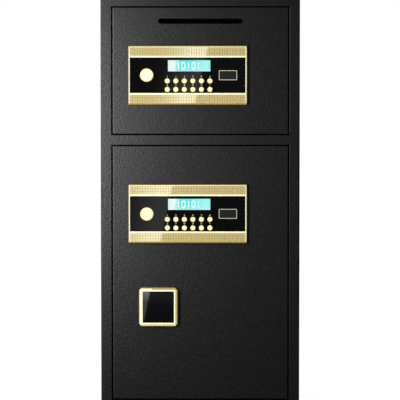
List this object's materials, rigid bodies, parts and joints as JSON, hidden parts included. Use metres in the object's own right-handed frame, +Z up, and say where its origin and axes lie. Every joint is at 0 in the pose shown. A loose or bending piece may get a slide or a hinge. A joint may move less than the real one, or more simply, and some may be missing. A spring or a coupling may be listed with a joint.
{
  "type": "double-door deposit safe",
  "caption": "Tall steel safe with an upper deposit door with a slot and a lower door, each with a keypad lock panel, knob, round bolts and key override.",
  "frame": {"origin": "centre of the body's underside", "axes": "+Z up, the doors face -Y, +X is the hinge side seen from the front at the right"},
  "size_m": [0.38, 0.3705, 0.8],
  "materials": {
    "body_paint": "charcoal hammertone paint",
    "door_paint": "charcoal hammertone paint",
    "liner_paint": "dark grey satin paint",
    "gold_trim": "pale gold, knurled bands and bright beads",
    "knob_gold": "pale gold, turned",
    "key_gold": "pale gold, satin",
    "black_glass": "black, polished",
    "display": "lit pale cyan",
    "cover_plastic": "black with a champagne rim",
    "bright_steel": "zinc plated",
    "bolt_chrome": "polished",
    "lock_brass": "satin brass",
    "black_plastic": "fine texture",
    "red_plastic": "red",
    "coil": "tape wrapped coil in a steel yoke"
  },
  "bodies": {
    "cabinet": {"cabinet_shell": "body_paint", "front_frame": "body_paint", "divider": "body_paint", "lower_shelf": "liner_paint", "hinge_pins": "bright_steel"},
    "upper_door": {"upper_door_plate": "door_paint", "upper_door_liner": "liner_paint", "upper_panel_frame": "gold_trim", "upper_panel_glass": "black_glass", "upper_display": "display", "upper_solenoid": "coil", "deposit_chute": "liner_paint"},
    "upper_bolts": {"upper_bolt_carriage": "bolt_chrome"},
    "upper_knob": {"upper_knob": "knob_gold", "upper_crank": "bright_steel"},
    "upper_plunger": {"upper_plunger": "bright_steel"},
    "upper_keyhole_cover": {"upper_keyhole_cover": "cover_plastic"},
    "upper_lock_plug": {"upper_lock_plug": "lock_brass"},
    "upper_battery_lid": {"upper_battery_lid": "black_plastic"},
    "upper_reset_button": {"upper_reset_button": "red_plastic"},
    "upper_key_1": {"upper_key_1": "key_gold"},
    "upper_key_2": {"upper_key_2": "key_gold"},
    "upper_key_3": {"upper_key_3": "key_gold"},
    "upper_key_4": {"upper_key_4": "key_gold"},
    "upper_key_5": {"upper_key_5": "key_gold"},
    "upper_key_enter": {"upper_key_enter": "key_gold"},
    "upper_key_6": {"upper_key_6": "key_gold"},
    "upper_key_7": {"upper_key_7": "key_gold"},
    "upper_key_8": {"upper_key_8": "key_gold"},
    "upper_key_9": {"upper_key_9": "key_gold"},
    "upper_key_0": {"upper_key_0": "key_gold"},
    "upper_key_clear": {"upper_key_clear": "key_gold"},
    "lower_door": {"lower_door_plate": "door_paint", "lower_door_liner": "liner_paint", "lower_panel_frame": "gold_trim", "lower_panel_glass": "black_glass", "lower_display": "display", "lower_solenoid": "coil", "badge_frame": "gold_trim", "badge_glass": "black_glass"},
    "lower_bolts": {"lower_bolt_carriage": "bolt_chrome"},
    "lower_knob": {"lower_knob": "knob_gold", "lower_crank": "bright_steel"},
    "lower_plunger": {"lower_plunger": "bright_steel"},
    "lower_keyhole_cover": {"lower_keyhole_cover": "cover_plastic"},
    "lower_lock_plug": {"lower_lock_plug": "lock_brass"},
    "lower_battery_lid": {"lower_battery_lid": "black_plastic"},
    "lower_reset_button": {"lower_reset_button": "red_plastic"},
    "lower_key_1": {"lower_key_1": "key_gold"},
    "lower_key_2": {"lower_key_2": "key_gold"},
    "lower_key_3": {"lower_key_3": "key_gold"},
    "lower_key_4": {"lower_key_4": "key_gold"},
    "lower_key_5": {"lower_key_5": "key_gold"},
    "lower_key_enter": {"lower_key_enter": "key_gold"},
    "lower_key_6": {"lower_key_6": "key_gold"},
    "lower_key_7": {"lower_key_7": "key_gold"},
    "lower_key_8": {"lower_key_8": "key_gold"},
    "lower_key_9": {"lower_key_9": "key_gold"},
    "lower_key_0": {"lower_key_0": "key_gold"},
    "lower_key_clear": {"lower_key_clear": "key_gold"}
  },
  "joints": [
    {"name": "upper_door_swing", "type": "hinge", "parent": "cabinet", "child": "upper_door", "pos_m": [0.1375, -0.164, 0.5345], "axis": [0, 0, 1], "range_deg": [0, 110]},
    {"name": "lower_door_swing", "type": "hinge", "parent": "cabinet", "child": "lower_door", "pos_m": [0.1375, -0.164, 0.0265], "axis": [0, 0, 1], "range_deg": [0, 110]},
    {"name": "upper_bolt_slide", "type": "slide", "parent": "upper_door", "child": "upper_bolts", "axis": [-1, 0, 0], "range_m": [0, 0.018]},
    {"name": "upper_knob_turn", "type": "hinge", "parent": "upper_door", "child": "upper_knob", "pos_m": [-0.1015, -0.175, 0.646], "axis": [0, -1, 0], "range_deg": [0, 70]},
    {"name": "lower_bolt_slide", "type": "slide", "parent": "lower_door", "child": "lower_bolts", "axis": [-1, 0, 0], "range_m": [0, 0.018]},
    {"name": "lower_knob_turn", "type": "hinge", "parent": "lower_door", "child": "lower_knob", "pos_m": [-0.1015, -0.175, 0.3825], "axis": [0, -1, 0], "range_deg": [0, 70]},
    {"name": "upper_plunger_lift", "type": "slide", "parent": "upper_door", "child": "upper_plunger", "axis": [0, 0, 1], "range_m": [0, 0.002], "stiffness_N_per_m": 100, "springref_m": -0.003},
    {"name": "upper_cover_pull", "type": "slide", "parent": "upper_door", "child": "upper_keyhole_cover", "axis": [0, -1, 0], "range_m": [0, 0.012]},
    {"name": "upper_key_turn", "type": "hinge", "parent": "upper_door", "child": "upper_lock_plug", "pos_m": [0.0527, -0.165, 0.646], "axis": [0, -1, 0], "range_deg": [0, 90]},
    {"name": "upper_lid_pull", "type": "slide", "parent": "upper_door", "child": "upper_battery_lid", "axis": [0, 1, 0], "range_m": [0, 0.012]},
    {"name": "upper_reset_press", "type": "slide", "parent": "upper_door", "child": "upper_reset_button", "axis": [0, -1, 0], "range_m": [0, 0.001], "stiffness_N_per_m": 400, "springref_m": -0.0005},
    {"name": "lower_plunger_lift", "type": "slide", "parent": "lower_door", "child": "lower_plunger", "axis": [0, 0, 1], "range_m": [0, 0.002], "stiffness_N_per_m": 100, "springref_m": -0.003},
    {"name": "lower_cover_pull", "type": "slide", "parent": "lower_door", "child": "lower_keyhole_cover", "axis": [0, -1, 0], "range_m": [0, 0.012]},
    {"name": "lower_key_turn", "type": "hinge", "parent": "lower_door", "child": "lower_lock_plug", "pos_m": [0.0527, -0.165, 0.3825], "axis": [0, -1, 0], "range_deg": [0, 90]},
    {"name": "lower_lid_pull", "type": "slide", "parent": "lower_door", "child": "lower_battery_lid", "axis": [0, 1, 0], "range_m": [0, 0.012]},
    {"name": "lower_reset_press", "type": "slide", "parent": "lower_door", "child": "lower_reset_button", "axis": [0, -1, 0], "range_m": [0, 0.001], "stiffness_N_per_m": 400, "springref_m": -0.0005},
    {"name": "upper_press_1", "type": "slide", "parent": "upper_door", "child": "upper_key_1", "axis": [0, 1, 0], "range_m": [0, 0.001], "stiffness_N_per_m": 400, "springref_m": -0.0005},
    {"name": "upper_press_2", "type": "slide", "parent": "upper_door", "child": "upper_key_2", "axis": [0, 1, 0], "range_m": [0, 0.001], "stiffness_N_per_m": 400, "springref_m": -0.0005},
    {"name": "upper_press_3", "type": "slide", "parent": "upper_door", "child": "upper_key_3", "axis": [0, 1, 0], "range_m": [0, 0.001], "stiffness_N_per_m": 400, "springref_m": -0.0005},
    {"name": "upper_press_4", "type": "slide", "parent": "upper_door", "child": "upper_key_4", "axis": [0, 1, 0], "range_m": [0, 0.001], "stiffness_N_per_m": 400, "springref_m": -0.0005},
    {"name": "upper_press_5", "type": "slide", "parent": "upper_door", "child": "upper_key_5", "axis": [0, 1, 0], "range_m": [0, 0.001], "stiffness_N_per_m": 400, "springref_m": -0.0005},
    {"name": "upper_press_enter", "type": "slide", "parent": "upper_door", "child": "upper_key_enter", "axis": [0, 1, 0], "range_m": [0, 0.001], "stiffness_N_per_m": 400, "springref_m": -0.0005},
    {"name": "upper_press_6", "type": "slide", "parent": "upper_door", "child": "upper_key_6", "axis": [0, 1, 0], "range_m": [0, 0.001], "stiffness_N_per_m": 400, "springref_m": -0.0005},
    {"name": "upper_press_7", "type": "slide", "parent": "upper_door", "child": "upper_key_7", "axis": [0, 1, 0], "range_m": [0, 0.001], "stiffness_N_per_m": 400, "springref_m": -0.0005},
    {"name": "upper_press_8", "type": "slide", "parent": "upper_door", "child": "upper_key_8", "axis": [0, 1, 0], "range_m": [0, 0.001], "stiffness_N_per_m": 400, "springref_m": -0.0005},
    {"name": "upper_press_9", "type": "slide", "parent": "upper_door", "child": "upper_key_9", "axis": [0, 1, 0], "range_m": [0, 0.001], "stiffness_N_per_m": 400, "springref_m": -0.0005},
    {"name": "upper_press_0", "type": "slide", "parent": "upper_door", "child": "upper_key_0", "axis": [0, 1, 0], "range_m": [0, 0.001], "stiffness_N_per_m": 400, "springref_m": -0.0005},
    {"name": "upper_press_clear", "type": "slide", "parent": "upper_door", "child": "upper_key_clear", "axis": [0, 1, 0], "range_m": [0, 0.001], "stiffness_N_per_m": 400, "springref_m": -0.0005},
    {"name": "lower_press_1", "type": "slide", "parent": "lower_door", "child": "lower_key_1", "axis": [0, 1, 0], "range_m": [0, 0.001], "stiffness_N_per_m": 400, "springref_m": -0.0005},
    {"name": "lower_press_2", "type": "slide", "parent": "lower_door", "child": "lower_key_2", "axis": [0, 1, 0], "range_m": [0, 0.001], "stiffness_N_per_m": 400, "springref_m": -0.0005},
    {"name": "lower_press_3", "type": "slide", "parent": "lower_door", "child": "lower_key_3", "axis": [0, 1, 0], "range_m": [0, 0.001], "stiffness_N_per_m": 400, "springref_m": -0.0005},
    {"name": "lower_press_4", "type": "slide", "parent": "lower_door", "child": "lower_key_4", "axis": [0, 1, 0], "range_m": [0, 0.001], "stiffness_N_per_m": 400, "springref_m": -0.0005},
    {"name": "lower_press_5", "type": "slide", "parent": "lower_door", "child": "lower_key_5", "axis": [0, 1, 0], "range_m": [0, 0.001], "stiffness_N_per_m": 400, "springref_m": -0.0005},
    {"name": "lower_press_enter", "type": "slide", "parent": "lower_door", "child": "lower_key_enter", "axis": [0, 1, 0], "range_m": [0, 0.001], "stiffness_N_per_m": 400, "springref_m": -0.0005},
    {"name": "lower_press_6", "type": "slide", "parent": "lower_door", "child": "lower_key_6", "axis": [0, 1, 0], "range_m": [0, 0.001], "stiffness_N_per_m": 400, "springref_m": -0.0005},
    {"name": "lower_press_7", "type": "slide", "parent": "lower_door", "child": "lower_key_7", "axis": [0, 1, 0], "range_m": [0, 0.001], "stiffness_N_per_m": 400, "springref_m": -0.0005},
    {"name": "lower_press_8", "type": "slide", "parent": "lower_door", "child": "lower_key_8", "axis": [0, 1, 0], "range_m": [0, 0.001], "stiffness_N_per_m": 400, "springref_m": -0.0005},
    {"name": "lower_press_9", "type": "slide", "parent": "lower_door", "child": "lower_key_9", "axis": [0, 1, 0], "range_m": [0, 0.001], "stiffness_N_per_m": 400, "springref_m": -0.0005},
    {"name": "lower_press_0", "type": "slide", "parent": "lower_door", "child": "lower_key_0", "axis": [0, 1, 0], "range_m": [0, 0.001], "stiffness_N_per_m": 400, "springref_m": -0.0005},
    {"name": "lower_press_clear", "type": "slide", "parent": "lower_door", "child": "lower_key_clear", "axis": [0, 1, 0], "range_m": [0, 0.001], "stiffness_N_per_m": 400, "springref_m": -0.0005}
  ],
  "couplings": [
    {"joint": "upper_knob_turn", "follows": "upper_bolt_slide", "rad_per_m": 67.87},
    {"joint": "lower_knob_turn", "follows": "lower_bolt_slide", "rad_per_m": 67.87}
  ]
}
